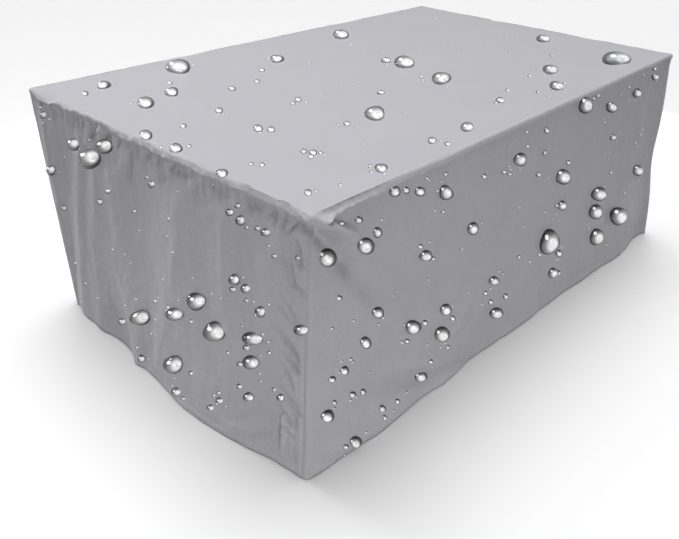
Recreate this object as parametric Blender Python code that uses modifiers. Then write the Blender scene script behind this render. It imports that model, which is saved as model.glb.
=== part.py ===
"""Box-shaped patio furniture cover of thin coated cloth, hanging as it drapes.

A rectangular top panel is sewn to four side panels, and a felled seam strip laps each top edge.
The side panels hang to the ground with long ridged folds, and their hems wander in and out.
The cover is hollow and open underneath. Units are metres, +Z is up, X runs along the long side.
The origin is on the underside of the top panel, at its centre.
"""

import math
from typing import NamedTuple

import bmesh
import bpy

# Driving dimensions
LENGTH = 1.80            # top panel along X
WIDTH = 1.10             # top panel along Y
DROP = 0.70              # underside of the top panel down to the hem
CLOTH = 0.002            # panel thickness
STRIP = 0.0012           # seam strip thickness
GAP = 0.0004             # clearance between pieces sewn to each other
ROLL = 0.006             # radius of the top edges, and of the upright corners at the top
RIM = 0.003              # straight turn-down of the top panel below its rolled edge
TOP_SAG = 0.004          # dip of the top panel between its edges and its supported middle
HELD_DEPTH = 0.030       # the seams hold the side panels flat this far down
FREE_DEPTH = 0.130       # and the folds have their full depth from here down
CORNER_FADE = 0.045      # folds fade out this far from an upright corner

# Grid density
TOP_CELLS = (20, 14)     # along X and Y
STRIP_COLUMNS = 16
CORNER_TURNS = (math.radians(22), math.radians(42))   # columns round a corner, before its joint

CLOTH_COLOR = (0.36, 0.36, 0.385, 1.0)
STRIP_COLOR = (0.42, 0.42, 0.445, 1.0)


class Corner(NamedTuple):
    """An upright corner: how far out its foot stands, and how round it is there."""

    x_side: int
    y_side: int
    lean_x: float        # outward, at the hem
    lean_y: float
    growth: float        # power of the height at which the lean builds up
    dent: float          # inward dent half-way down
    hem_radius: float


class Fold(NamedTuple):
    """A ridge (or a trough, if the rise is negative) that runs down a side panel."""

    upper_along: float   # distance from the panel's left end, at the fold's upper end
    middle_along: float
    lower_along: float
    upper_down: float    # share of the drop at which the fold starts
    lower_down: float    # and ends; 1 or more runs out through the hem
    width: float
    rise: float


class Lobe(NamedTuple):
    """A place where the hem swings outward (or inward)."""

    along: float
    half_width: float
    reach: float


class Panel(NamedTuple):
    """A side panel, seen from outside: its corners from left to right, and its cloth."""

    name: str
    left_corner: str
    right_corner: str
    length: float
    columns: int
    lobe_growth: float
    folds: tuple
    lobes: tuple
    strip_legs: tuple    # (share of the length, leg on the top, lower edge below the top)
    strip_inset: float   # where the strip stops, in from each end of the panel


CORNERS = {
    "back_left": Corner(-1, 1, -0.0055, -0.0055, 1.3, 0.0, 0.036),
    "near": Corner(-1, -1, 0.012, -0.003, 0.5, 0.0, 0.026),
    "right": Corner(1, -1, 0.0575, 0.0575, 1.0, 0.010, 0.020),
    "far": Corner(1, 1, 0.022, 0.016, 1.2, 0.003, 0.030),
}

LEFT_FOLDS = (
    Fold(0.300, 0.200, 0.110, 0.10, 0.85, 0.022, 0.007),
    Fold(0.380, 0.255, 0.195, 0.10, 1.10, 0.028, 0.010),
    Fold(0.470, 0.480, 0.485, 0.05, 0.75, 0.040, -0.006),
    Fold(0.664, 0.610, 0.545, 0.04, 1.10, 0.055, 0.013),
    Fold(0.840, 0.826, 0.920, 0.05, 1.10, 0.050, 0.012),
    Fold(1.018, 1.012, 1.014, 0.04, 0.90, 0.035, 0.008),
)
LEFT_LOBES = (
    Lobe(0.17, 0.09, 0.016),
    Lobe(0.44, 0.045, 0.022),
    Lobe(0.71, 0.21, 0.052),
)

FRONT_FOLDS = (
    Fold(0.050, 0.130, 0.380, 0.05, 0.50, 0.034, -0.012),
    Fold(0.095, 0.200, 0.420, 0.03, 0.42, 0.040, 0.006),
    Fold(0.290, 0.350, 0.410, 0.50, 0.72, 0.050, -0.006),
    Fold(0.625, 0.630, 0.560, 0.05, 0.90, 0.050, 0.007),
    Fold(0.900, 0.930, 0.960, 0.10, 1.10, 0.080, 0.005),
    Fold(1.250, 1.230, 1.290, 0.05, 1.10, 0.070, 0.007),
    Fold(1.560, 1.580, 1.540, 0.20, 1.10, 0.055, 0.008),
)
FRONT_LOBES = (
    Lobe(0.24, 0.13, 0.012),
    Lobe(0.54, 0.05, 0.010),
    Lobe(0.66, 0.05, -0.010),
    Lobe(0.97, 0.09, -0.004),
    Lobe(1.53, 0.08, 0.014),
    Lobe(1.725, 0.04, -0.022),
)

RIGHT_FOLDS = (
    Fold(0.180, 0.190, 0.230, 0.06, 1.10, 0.045, 0.010),
    Fold(0.420, 0.460, 0.500, 0.05, 1.10, 0.060, 0.013),
    Fold(0.640, 0.630, 0.660, 0.08, 0.80, 0.050, -0.006),
    Fold(0.880, 0.850, 0.830, 0.05, 1.10, 0.050, 0.011),
)
RIGHT_LOBES = (
    Lobe(0.24, 0.09, 0.018),
    Lobe(0.50, 0.12, 0.030),
    Lobe(0.84, 0.10, 0.022),
)

BACK_FOLDS = (
    Fold(0.220, 0.240, 0.260, 0.05, 1.10, 0.060, 0.010),
    Fold(0.560, 0.600, 0.630, 0.07, 1.10, 0.060, 0.012),
    Fold(0.830, 0.840, 0.860, 0.10, 0.80, 0.060, -0.006),
    Fold(1.060, 1.040, 1.050, 0.05, 1.10, 0.050, 0.009),
    Fold(1.440, 1.430, 1.400, 0.06, 1.10, 0.065, 0.012),
)
BACK_LOBES = (
    Lobe(0.26, 0.12, 0.020),
    Lobe(0.63, 0.14, 0.028),
    Lobe(1.05, 0.10, 0.014),
    Lobe(1.41, 0.15, 0.032),
)

EVEN_LEGS = ((0.0, 0.010, 0.018), (0.5, 0.006, 0.015), (1.0, 0.010, 0.018))

PANELS = (
    Panel("front", "near", "right", LENGTH, 46, 2.2, FRONT_FOLDS, FRONT_LOBES,
          ((0.0, 0.014, 0.028), (0.12, 0.008, 0.018), (0.4, 0.005, 0.014), (1.0, 0.005, 0.013)),
          ROLL),
    Panel("right", "right", "far", WIDTH, 28, 1.8, RIGHT_FOLDS, RIGHT_LOBES, EVEN_LEGS, 0.024),
    Panel("back", "far", "back_left", LENGTH, 38, 1.8, BACK_FOLDS, BACK_LOBES, EVEN_LEGS, ROLL),
    Panel("left", "back_left", "near", WIDTH, 40, 1.7, LEFT_FOLDS, LEFT_LOBES,
          ((0.0, 0.009, 0.020), (0.35, 0.005, 0.015), (0.85, 0.006, 0.017), (1.0, 0.010, 0.022)),
          0.024),
)

# Share of the drop at each row of a side panel, from its top edge to its hem
HELD = HELD_DEPTH / DROP
PANEL_ROWS = (0.0, HELD, 0.10, 0.17, 0.25, 0.34, 0.44, 0.54, 0.64, 0.73, 0.81, 0.88, 0.94, 1.0)


def smooth(value):
    """Ease from 0 to 1."""
    value = min(max(value, 0.0), 1.0)
    return value * value * (3.0 - 2.0 * value)


def mix(start, end, share):
    return start + (end - start) * share


def ridge(distance, width):
    """Cross-section of a fold: a crest with hollow flanks, only just rounded at its tip."""
    tip = 0.25
    return math.exp(tip - math.hypot(distance / width, tip))


def corner_shift(corner, down):
    """Plan shift of an upright corner at a share of the drop, outward in X and in Y."""
    free = max(down - HELD, 0.0) / (1 - HELD)
    dent = corner.dent * math.exp(-((down - 0.55) / 0.17) ** 2)
    build = free ** corner.growth
    return corner.lean_x * build - dent, corner.lean_y * build - dent


def corner_radius(corner, down):
    return mix(ROLL, corner.hem_radius, down)


def fold_rise(fold, along, down):
    """How far one fold pushes the cloth outward at a point of its panel."""
    span = (down - fold.upper_down) / (fold.lower_down - fold.upper_down)
    if not 0.0 < span < 1.0:
        return 0.0
    bow = fold.middle_along - (fold.upper_along + fold.lower_along) / 2
    crest = mix(fold.upper_along, fold.lower_along, span) + bow * 4 * span * (1 - span)
    fade_in = smooth(span / 0.25)
    fade_out = 1.0 if fold.lower_down > 1.0 else smooth((1.0 - span) / 0.3)
    return fold.rise * fade_in * fade_out * ridge(along - crest, fold.width)


def cloth_rise(panel, along, down):
    """How far the folds and the hem's lobes push a panel outward at a point."""
    rise = sum(fold_rise(fold, along, down) for fold in panel.folds)
    for lobe in panel.lobes:
        share = math.exp(-((along - lobe.along) / lobe.half_width) ** 2)
        rise += lobe.reach * share * down ** panel.lobe_growth
    edge = min(along, panel.length - along)
    held = smooth((down * DROP - HELD_DEPTH) / (FREE_DEPTH - HELD_DEPTH))
    return rise * held * smooth(edge / CORNER_FADE)


def panel_frame(panel):
    """Plan directions of a panel, along it and out of it, and the place of its left corner."""
    start = CORNERS[panel.left_corner]
    end = CORNERS[panel.right_corner]
    along = ((end.x_side - start.x_side) / 2, (end.y_side - start.y_side) / 2)
    outward = (along[1], -along[0])
    origin = (start.x_side * LENGTH / 2, start.y_side * WIDTH / 2)
    return along, outward, origin


def panel_point(panel, part, turn, down):
    """A point on a side panel's outer face.

    part is the share of the way between the corner rounds, turn the angle around a corner
    (below zero at the left one) and down the share of the drop.
    """
    along_dir, outward_dir, origin = panel_frame(panel)
    start = CORNERS[panel.left_corner]
    end = CORNERS[panel.right_corner]
    start_radius = corner_radius(start, down)
    end_radius = corner_radius(end, down)
    along = start_radius + part * (panel.length - start_radius - end_radius)
    radius = start_radius if turn < 0 else end_radius
    outward = -radius * (1 - math.cos(turn))
    if turn == 0:
        outward += cloth_rise(panel, along, down)
    along += radius * math.sin(turn)
    start_shift = corner_shift(start, down)
    end_shift = corner_shift(end, down)
    shift_x = mix(start.x_side * start_shift[0], end.x_side * end_shift[0], part)
    shift_y = mix(start.y_side * start_shift[1], end.y_side * end_shift[1], part)
    joint = ROLL + RIM + GAP - CLOTH
    return (
        origin[0] + along * along_dir[0] + outward * outward_dir[0] + shift_x,
        origin[1] + along * along_dir[1] + outward * outward_dir[1] + shift_y,
        -mix(joint, DROP, down),
    )


def panel_columns(panel):
    """Each column of a panel as (part, turn): round one corner, straight on, round the next.

    An infinite turn marks the joint, where joint_turn gives the angle.
    """
    left = [(0.0, -turn) for turn in reversed(CORNER_TURNS)]
    straight = [(step / panel.columns, 0.0) for step in range(panel.columns + 1)]
    right = [(1.0, turn) for turn in CORNER_TURNS]
    return [(0.0, -math.inf)] + left + straight + right + [(1.0, math.inf)]


def joint_turn(panel, turn, down):
    """The angle at which a panel's end stops, half a seam gap before the joint at 45 degrees."""
    if math.isfinite(turn):
        return turn
    corner = CORNERS[panel.left_corner if turn < 0 else panel.right_corner]
    stop = math.radians(45) - GAP / 2 / (corner_radius(corner, down) - CLOTH)
    return math.copysign(stop, turn)


def add_surface(name, columns, rows, place, material):
    """A sheet whose grid corner (column, row) lies where place(column, row) says."""
    mesh = bpy.data.meshes.new(name)
    sheet = bmesh.new()
    bmesh.ops.create_grid(sheet, x_segments=columns, y_segments=rows, size=0.5)
    for vert in sheet.verts:
        column = round((vert.co.x + 0.5) * columns)
        row = round((0.5 - vert.co.y) * rows)
        vert.co = place(column, row)
    sheet.to_mesh(mesh)
    sheet.free()
    mesh.materials.append(material)
    mesh.shade_smooth()
    sheet_object = bpy.data.objects.new(name, mesh)
    bpy.data.collections["patio_furniture_cover"].objects.link(sheet_object)
    return sheet_object


def thicken(sheet_object, thickness, offset):
    """Give a sheet its cloth thickness: offset -1 is inward of its face, 1 is outward."""
    solidify = sheet_object.modifiers.new("cloth_thickness", "SOLIDIFY")
    solidify.thickness = thickness
    solidify.offset = offset
    solidify.use_even_offset = True
    solidify.use_quality_normals = True


def add_side_panel(panel, material):
    columns = panel_columns(panel)

    def place(column, row):
        part, turn = columns[column]
        down = PANEL_ROWS[row]
        return panel_point(panel, part, joint_turn(panel, turn, down), down)

    sheet_object = add_surface(
        panel.name + "_panel", len(columns) - 1, len(PANEL_ROWS) - 1, place, material)
    thicken(sheet_object, CLOTH, -1)


def strip_leg(panel, part):
    """The seam strip's reach in over the top, and down its side, at a share of its length."""
    legs = panel.strip_legs
    for before, after in zip(legs, legs[1:]):
        if part <= after[0]:
            share = smooth((part - before[0]) / (after[0] - before[0]))
            return mix(before[1], after[1], share), mix(before[2], after[2], share)
    return legs[-1][1:]


def strip_section(top_leg, side_leg):
    """The strip's inner face across a top edge, as (outward, height) from that edge."""
    radius = ROLL + GAP
    bend = [math.radians(angle) for angle in (0, 30, 60, 90)]
    section = [(-ROLL - top_leg, GAP)]
    section += [(radius * math.sin(turn) - ROLL, radius * math.cos(turn) - ROLL) for turn in bend]
    section.append((GAP, -side_leg))
    return section


def add_seam_strip(panel, material):
    """The felled seam strip that laps one top edge, in over the top and down the side panel."""
    along_dir, outward_dir, origin = panel_frame(panel)
    section_cells = len(strip_section(0.0, 0.0)) - 1

    def place(column, row):
        part = column / STRIP_COLUMNS
        outward, height = strip_section(*strip_leg(panel, part))[row]
        along = mix(panel.strip_inset, panel.length - panel.strip_inset, part)
        return (
            origin[0] + along * along_dir[0] + outward * outward_dir[0],
            origin[1] + along * along_dir[1] + outward * outward_dir[1],
            CLOTH + height,
        )

    sheet_object = add_surface(
        panel.name + "_seam", STRIP_COLUMNS, section_cells, place, material)
    thicken(sheet_object, STRIP, 1)


def add_top_panel(material):
    """The top: flat over its supported middle, a soft dip around it, and rolled-over edges."""
    columns, rows = TOP_CELLS

    def place(column, row):
        across = column / columns
        back = 1 - row / rows
        edge = min(across, 1 - across) * min(back, 1 - back) * 16
        dip = TOP_SAG * math.sin(math.pi * smooth(edge)) ** 2
        return ((across - 0.5) * LENGTH, (back - 0.5) * WIDTH, CLOTH - dip)

    sheet_object = add_surface("top_panel", columns, rows, place, material)
    mesh = sheet_object.data
    sheet = bmesh.new()
    sheet.from_mesh(mesh)
    border = [edge for edge in sheet.edges if edge.is_boundary]
    turned_down = bmesh.ops.extrude_edge_only(sheet, edges=border)["geom"]
    for vert in turned_down:
        if isinstance(vert, bmesh.types.BMVert):
            vert.co.z -= ROLL + RIM
    bmesh.ops.recalc_face_normals(sheet, faces=sheet.faces)
    sheet.to_mesh(mesh)
    sheet.free()
    roll = sheet_object.modifiers.new("rolled_edges", "BEVEL")
    roll.width = ROLL
    roll.segments = 3
    roll.limit_method = "ANGLE"
    roll.angle_limit = math.radians(60)
    thicken(sheet_object, CLOTH, -1)


def cloth_material(name, color, roughness):
    material = bpy.data.materials.new(name)
    material.use_nodes = True
    shader = material.node_tree.nodes["Principled BSDF"]
    shader.inputs["Base Color"].default_value = color
    shader.inputs["Roughness"].default_value = roughness
    shader.inputs["Metallic"].default_value = 0.0
    return material


def main():
    for old_object in list(bpy.data.objects):
        bpy.data.objects.remove(old_object, do_unlink=True)
    collection = bpy.data.collections.new("patio_furniture_cover")
    bpy.context.scene.collection.children.link(collection)
    add_top_panel(cloth_material("top_cloth", CLOTH_COLOR, 0.55))
    for panel in PANELS:
        add_side_panel(panel, cloth_material(panel.name + "_cloth", CLOTH_COLOR, 0.55))
        add_seam_strip(panel, cloth_material(panel.name + "_strip", STRIP_COLOR, 0.5))


main()
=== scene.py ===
# Looks of a box-shaped patio furniture cover: thin coated cloth, a flat top on four side panels
# that hang in long ridged folds, seam strips lapped over the top edges, and rain beaded on it.
# Units are metres, +Z is up and X runs along the long side. The walls are described as on the
# pattern: "along" runs left to right seen from outside, "down" is the share of the drop.

import math
from typing import NamedTuple

import bpy
import numpy as np
from mathutils import Matrix, Vector
from mathutils.bvhtree import BVHTree


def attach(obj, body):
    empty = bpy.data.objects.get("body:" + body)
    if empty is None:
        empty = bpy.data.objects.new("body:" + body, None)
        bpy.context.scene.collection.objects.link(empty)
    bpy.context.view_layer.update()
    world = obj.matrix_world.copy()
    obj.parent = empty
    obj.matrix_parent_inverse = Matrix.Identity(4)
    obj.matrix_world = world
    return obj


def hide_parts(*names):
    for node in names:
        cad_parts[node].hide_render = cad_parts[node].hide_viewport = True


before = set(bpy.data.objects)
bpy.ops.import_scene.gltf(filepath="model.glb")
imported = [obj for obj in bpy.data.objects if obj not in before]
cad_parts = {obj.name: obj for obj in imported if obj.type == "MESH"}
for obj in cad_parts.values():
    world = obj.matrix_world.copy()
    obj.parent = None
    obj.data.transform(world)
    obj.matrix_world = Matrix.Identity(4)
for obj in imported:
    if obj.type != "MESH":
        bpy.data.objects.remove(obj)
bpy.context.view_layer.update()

# Driving dimensions, as in the solids
LENGTH = 1.80            # top panel along X
WIDTH = 1.10             # top panel along Y
HALF_X, HALF_Y = LENGTH / 2, WIDTH / 2
DROP = 0.70              # underside of the top panel down to the hem
CLOTH = 0.002            # height of the top panel's outer face
GAP = 0.0004             # clearance between pieces sewn to each other
ROLL = 0.006             # radius of the top edges, and of the upright corners at the top
RIM = 0.003              # straight turn-down of the top panel below its rolled edge
SEAM_LEVEL = ROLL + RIM + GAP - CLOTH    # the side panels start this far below the origin
HELD_DEPTH = 0.030       # lean of the corners starts this far down

# The photograph's view, measured from the cover's own edges
PHOTO_WIDTH = 679
PHOTO_HEIGHT = 539
CAMERA_LENS = 37.9       # millimetres, on a sensor 36 wide
PHOTO_FOCUS = CAMERA_LENS / 36.0 * PHOTO_WIDTH
CAMERA_PLACE = (-1.7674, -1.3895, 0.6064)
CAMERA_BACK = (-0.64190, -0.57008, 0.51281)
CAMERA_UP = (0.36275, 0.36344, 0.85809)

# Cloth
SHEET = 0.0012           # single layer
HEM = 0.0022             # folded edge
HEM_BAND = 0.022         # turned-up hem
HEM_STEP = 0.0006        # how far the doubled band stands proud,
HEM_TUCK = 0.010         # and the part of it that curls in
STRIP = 0.0007           # seam strip thickness
LAP = 0.0003             # a strip's clearance over the cloth
WRAP = 0.030             # how far a strip laps round its left corner over the next one's end
STRIP_LEAST = 0.0006     # least that it reaches in over the top,
STRIP_CLEAR = 0.0005     # and least way from the middle of the corner that it turns
BEND_ROWS = slice(4, 9)  # rows of its section that go round the edge,
FACE_ROWS = slice(9, 14)       # and down the panel
BEND_PAINTED_SHADOW = (0.5, 1.0, 1.0, 0.6, 0.2)     # shares of the painted shadow line's darkness on the first,
FACE_PAINTED_LIGHT = -0.24       # and on the others, which are painted lighter
PAINTED_LIGHT_END = 0.110         # where that painted light stops, along the edge,
PAINTED_LIGHT_EASE = 0.040        # and the length over which they do
ALLOWANCE = 0.008        # cloth turned inward along an upright seam
SEAM_NICK = 0.0005       # depth of the nick along it
SEAM_INSET = 0.006       # of the stitching beside it
STITCH_PITCH = 0.0052
STITCH_LENGTH = 0.0036
THREAD = 0.0006
HEM_SEWN = 0.003         # stitching below the upper edge of the hem's band,
STRIP_SEWN = 0.0025      # and above a strip's lower edge
ROLL_FLAT = 0.009        # a rolled edge laid flat

# Folds. A pair that sets something in is (where it starts, how much further on it is full)
CREST = 0.4              # how much steeper a facet is at its crest than in its valley
ROUNDING = 8             # passes that round the facets' edges
FOLDS_BEGIN = (0.010, 0.110)
FOLD_MARGIN = 0.045      # along the upright seams, where the folds fade out,
CREASE_MARGIN = 0.016    # the creases,
UNEVEN_MARGIN = 0.030    # and the cloth's unevenness
UNEVEN_BEGINS = (0.012, 0.060)
UNEVENNESS = (           # its height, and its pitch along and down
    (0.0012, 0.110, 0.240), (0.0015, 0.042, 0.075), (0.0007, 0.017, 0.026))
SWAY = (0.0022, 0.060, 0.4)    # the same for the slack cloth above the hem
SWAY_BEGINS = (0.45, 0.25)
CREASE_ENDS = 0.55       # half the length over which a crease dies out, as a share of its length
HEM_RISE = 0.0015        # height over which the hem's band steps out
DENT = (0.55, 0.17)      # middle and half height of a corner's dent, as shares of the drop
EDGE_MARGIN = 0.040      # length of a top edge beside a corner that doesn't dip,
SCALLOP_PITCH = 0.030    # and the pitch, mean and swing of its dips between gathers
SCALLOPS = (0.5, 0.7)
FALL = (0.014, 3, 2.4)   # reach of a dip in over the top, how it grows with depth, and its power
SAGS = (                 # middle, half sizes and depth of the top's sags
    (-0.35, 0.0, 0.50, 0.34, 0.0030), (0.45, 0.05, 0.42, 0.34, 0.0024))
TOP_RIPPLE = (0.0006, 0.16, 0.13)    # height and pitches of its ripple,
TOP_RIPPLE_MARGIN = 0.10             # how far in from the edges it is full,
TOP_SEED = 71                        # and its random table
SCRUNCH = (0.28, 0.009, 0.007)       # share and pitches of the seam strips' puckering
CREASE_SHADE_DEPTH = 0.0028      # depth of a crease that sets the scale of the painted shade in it,
CREASE_SHADE_RANGE = (-0.6, 0.8)       # its least and most share; below zero it is painted light on a crest
CREASE_SHADE_START = 0.010       # and how far below the seam it is full

# Grids
TOP_CELLS = (0.012, 0.008)     # of the top, along X and Y,
TOP_MARGIN = 0.030       # and the finer ones beside its edges
TOP_FINE = 0.003
STATION = 0.003          # pitch of a seam strip's columns
FINE_DEPTH = 0.040       # a side panel's rows are closer above this depth
FINE_COLUMNS = (25, 0.0025)    # how many closer columns it has beside a corner, and their pitch
SEAM_STEP = 0.004        # radians between the columns at an upright seam


class Crease(NamedTuple):
    """A short soft ridge (or a trough, if the rise is negative)."""

    along: float
    depth: float         # of its middle, below the top edge
    lean: float          # degrees from upright, foot to the right
    length: float
    width: float
    rise: float


class Corner(NamedTuple):
    """An upright corner: how far out its foot stands, how round it is, where its seam runs."""

    x_side: int
    y_side: int
    lean_x: float        # outward, at the hem
    lean_y: float
    growth: float        # power of the height at which the lean builds up
    dent: float          # inward dent half-way down
    hem_radius: float
    seam_turn: float     # degrees of the round that belong to the panel on its left
    folds: tuple = ()    # creases round the corner; their along is measured from its middle


class Line(NamedTuple):
    """A crest or valley line down a side panel; the cloth lies in facets between them."""

    top: float           # distance along the panel at the top edge,
    middle: float        # half-way down
    hem: float           # and at the hem
    top_rise: float      # outward at the top and at the hem; below zero in a valley
    hem_rise: float


class Lobe(NamedTuple):
    """A place where the hem swings outward (or inward)."""

    along: float
    half_width: float
    reach: float
    late: float = 1.0    # above 1, it starts nearer the hem


class Leg(NamedTuple):
    """A seam strip's size at a place along the edge; below zero it is wrapped round the corner."""

    along: float
    inner: float         # reach in over the top
    lower: float         # lower edge, below the top
    puff: float          # how far it stands off the cloth
    painted_shading: float = 0.0   # strength of the painted shadow along its upper edge and of the painted light on its face


class Slants(NamedTuple):
    """Ranges from which the slanting creases beside an upright seam are drawn."""

    depths: tuple        # of the first and the last
    away: tuple          # from the seam
    lean: tuple
    length: tuple
    width: tuple
    rise: tuple          # inward, as a share
    step: tuple          # down to the next one


class Side(NamedTuple):
    """A side panel, seen from outside: its corners from left to right, and its cloth."""

    name: str
    left_corner: str
    right_corner: str
    length: float
    cell: float          # pitch of its grid
    lobe_growth: float   # power of the share of the drop at which the hem's lobes build up
    lines: tuple
    lobes: tuple
    creases: tuple
    pucker_rise: float   # size of the gathers under the top seam,
    pucker_steps: tuple  # and least and greatest way between them
    strip: tuple         # the seam strip's legs, from its wrapped left end to its right end
    slumps: tuple        # (along, half width, dip) where the top edge sags
    seed: int
    pulls: tuple = ()    # (along, half width, strength) where the seam pulls the gathers tighter
    slant_rise: float = 0.0012   # size of the slanting creases beside the right-hand seam
    crease_shading: float = 0.0         # strength of the painted shade in its creases and the painted light on their crests


def rows(kind, table):
    """A table's plain rows with their columns named."""
    return tuple(kind(*row) for row in table)


CORNERS = {
    "back_left": Corner(-1, 1, -0.0055, -0.0055, 1.3, 0.0, 0.036, 45),
    "near": Corner(-1, -1, 0.012, -0.003, 0.5, 0.0, 0.018, 0, folds=rows(Crease, (
        (0.008, 0.034, 60, 0.09, 0.009, -0.006),
        (0.046, 0.066, 43, 0.11, 0.018, -0.016),
        (-0.06, 0.095, 0, 0.07, 0.007, -0.0022),
        (-0.024, 0.052, 10, 0.046, 0.01, 0.0024),
        (-0.034, 0.185, 40, 0.044, 0.006, -0.0018),
        (-0.021, 0.48, 0, 0.4, 0.004, 0.0026),
        (-0.012, 0.48, 0, 0.4, 0.0035, -0.002),
        (-0.002, 0.48, 0, 0.4, 0.004, 0.0024),
        (-0.052, 0.57, -1, 0.13, 0.005, 0.0026),
        (-0.04, 0.575, -1, 0.15, 0.004, -0.002),
    ))),
    "right": Corner(1, -1, 0.0575, 0.0575, 1.0, 0.01, 0.02, 45),
    "far": Corner(1, 1, 0.022, 0.016, 1.2, 0.003, 0.03, 45),
}

LEFT = Side(
    "left", "back_left", "near", WIDTH, 0.005, 1.7,
    lines=rows(Line, (
        (0.05, 0.035, 0.018, 0.0054, 0.0),
        (0.205, 0.108, 0.036, -0.0068, -0.0052),
        (0.272, 0.164, 0.096, 0.0041, 0.0065),
        (0.3, 0.194, 0.15, -0.0014, 0.0),
        (0.352, 0.246, 0.215, 0.0068, 0.0078),
        (0.372, 0.285, 0.262, 0.0027, 0.0052),
        (0.392, 0.385, 0.42, 0.0041, 0.0117),
        (0.505, 0.518, 0.456, -0.0095, 0.005),
        (0.69, 0.632, 0.496, 0.0135, 0.0143),
        (0.775, 0.776, 0.78, -0.0014, 0.0013),
        (0.842, 0.846, 0.905, 0.0108, 0.0117),
        (0.905, 0.9, 0.975, -0.0014, 0.0013),
        (1.016, 1.01, 1.016, 0.005, 0.004),
        (1.045, 1.042, 1.046, 0.0, 0.0),
    )),
    lobes=rows(Lobe, ((0.17, 0.09, 0.016), (0.44, 0.045, 0.022, 2.6), (0.71, 0.21, 0.052))),
    creases=rows(Crease, (
        (0.262, 0.045, -14, 0.064, 0.007, -0.0044),
        (0.284, 0.042, -12, 0.056, 0.007, 0.0036),
        (0.306, 0.036, -18, 0.044, 0.006, -0.0032),
        (0.333, 0.048, -22, 0.07, 0.009, -0.0054),
        (0.352, 0.044, -20, 0.056, 0.007, 0.0038),
        (0.374, 0.038, -22, 0.044, 0.006, -0.0036),
        (0.398, 0.034, -26, 0.044, 0.006, -0.0034),
        (0.56, 0.026, -34, 0.036, 0.006, -0.003),
        (0.6, 0.024, -40, 0.034, 0.006, -0.003),
        (0.715, 0.026, -36, 0.036, 0.006, -0.0028),
        (0.446, 0.07, -38, 0.11, 0.01, 0.0036),
        (0.47, 0.078, -16, 0.09, 0.012, -0.004),
        (0.545, 0.05, -8, 0.05, 0.01, -0.0016),
        (0.632, 0.055, -52, 0.08, 0.011, -0.003),
        (0.655, 0.035, -40, 0.05, 0.008, 0.002),
        (0.742, 0.04, 2, 0.045, 0.006, -0.0022),
        (0.752, 0.042, 2, 0.05, 0.005, 0.002),
        (0.765, 0.04, 4, 0.04, 0.006, -0.0018),
        (0.775, 0.09, -50, 0.08, 0.01, 0.0013),
        (0.805, 0.105, -62, 0.06, 0.008, -0.0012),
        (1.044, 0.33, 44, 0.06, 0.0085, -0.01),
        (1.05, 0.372, 54, 0.05, 0.0075, -0.008),
        (1.037, 0.415, 34, 0.056, 0.007, -0.0075),
        (1.034, 0.54, 46, 0.05, 0.0075, -0.008),
        (1.012, 0.59, -2, 0.11, 0.005, -0.0045),
        (1.022, 0.585, -2, 0.12, 0.005, 0.005),
        (0.905, 0.6, -40, 0.07, 0.014, -0.0018),
        (0.955, 0.64, -52, 0.08, 0.012, -0.002),
        (0.86, 0.655, -48, 0.07, 0.012, 0.0016),
        (0.3, 0.6, 30, 0.12, 0.018, -0.002),
        (0.37, 0.52, 24, 0.14, 0.02, 0.002),
    )),
    pucker_rise=0.0032,
    pucker_steps=(0.011, 0.027),
    pulls=((0.31, 0.09, 1.3), (0.62, 0.11, 0.7)),
    slant_rise=0.0065,
    crease_shading=0.26,
    strip=rows(Leg, (
        (-0.03, 0.003, 0.008, 0.0004), (0.0, 0.003, 0.009, 0.0006),
        (0.39, 0.003, 0.009, 0.001), (0.46, 0.003, 0.015, 0.0055, 0.1),
        (0.74, 0.003, 0.015, 0.0055, 0.1), (0.86, 0.003, 0.013, 0.004, 0.2),
        (0.93, 0.003, 0.012, 0.004, 0.9),
        (1.03, 0.003, 0.013, 0.005, 0.8), (1.07, 0.003, 0.014, 0.005, 0.3),
        (1.1, 0.003, 0.014, 0.004),
    )),
    slumps=((0.075, 0.055, 0.017), (0.2, 0.045, 0.004), (0.489, 0.014, 0.005),
            (0.64, 0.03, 0.0025), (0.76, 0.02, 0.002), (0.87, 0.03, 0.002)),
    seed=11,
)

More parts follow.
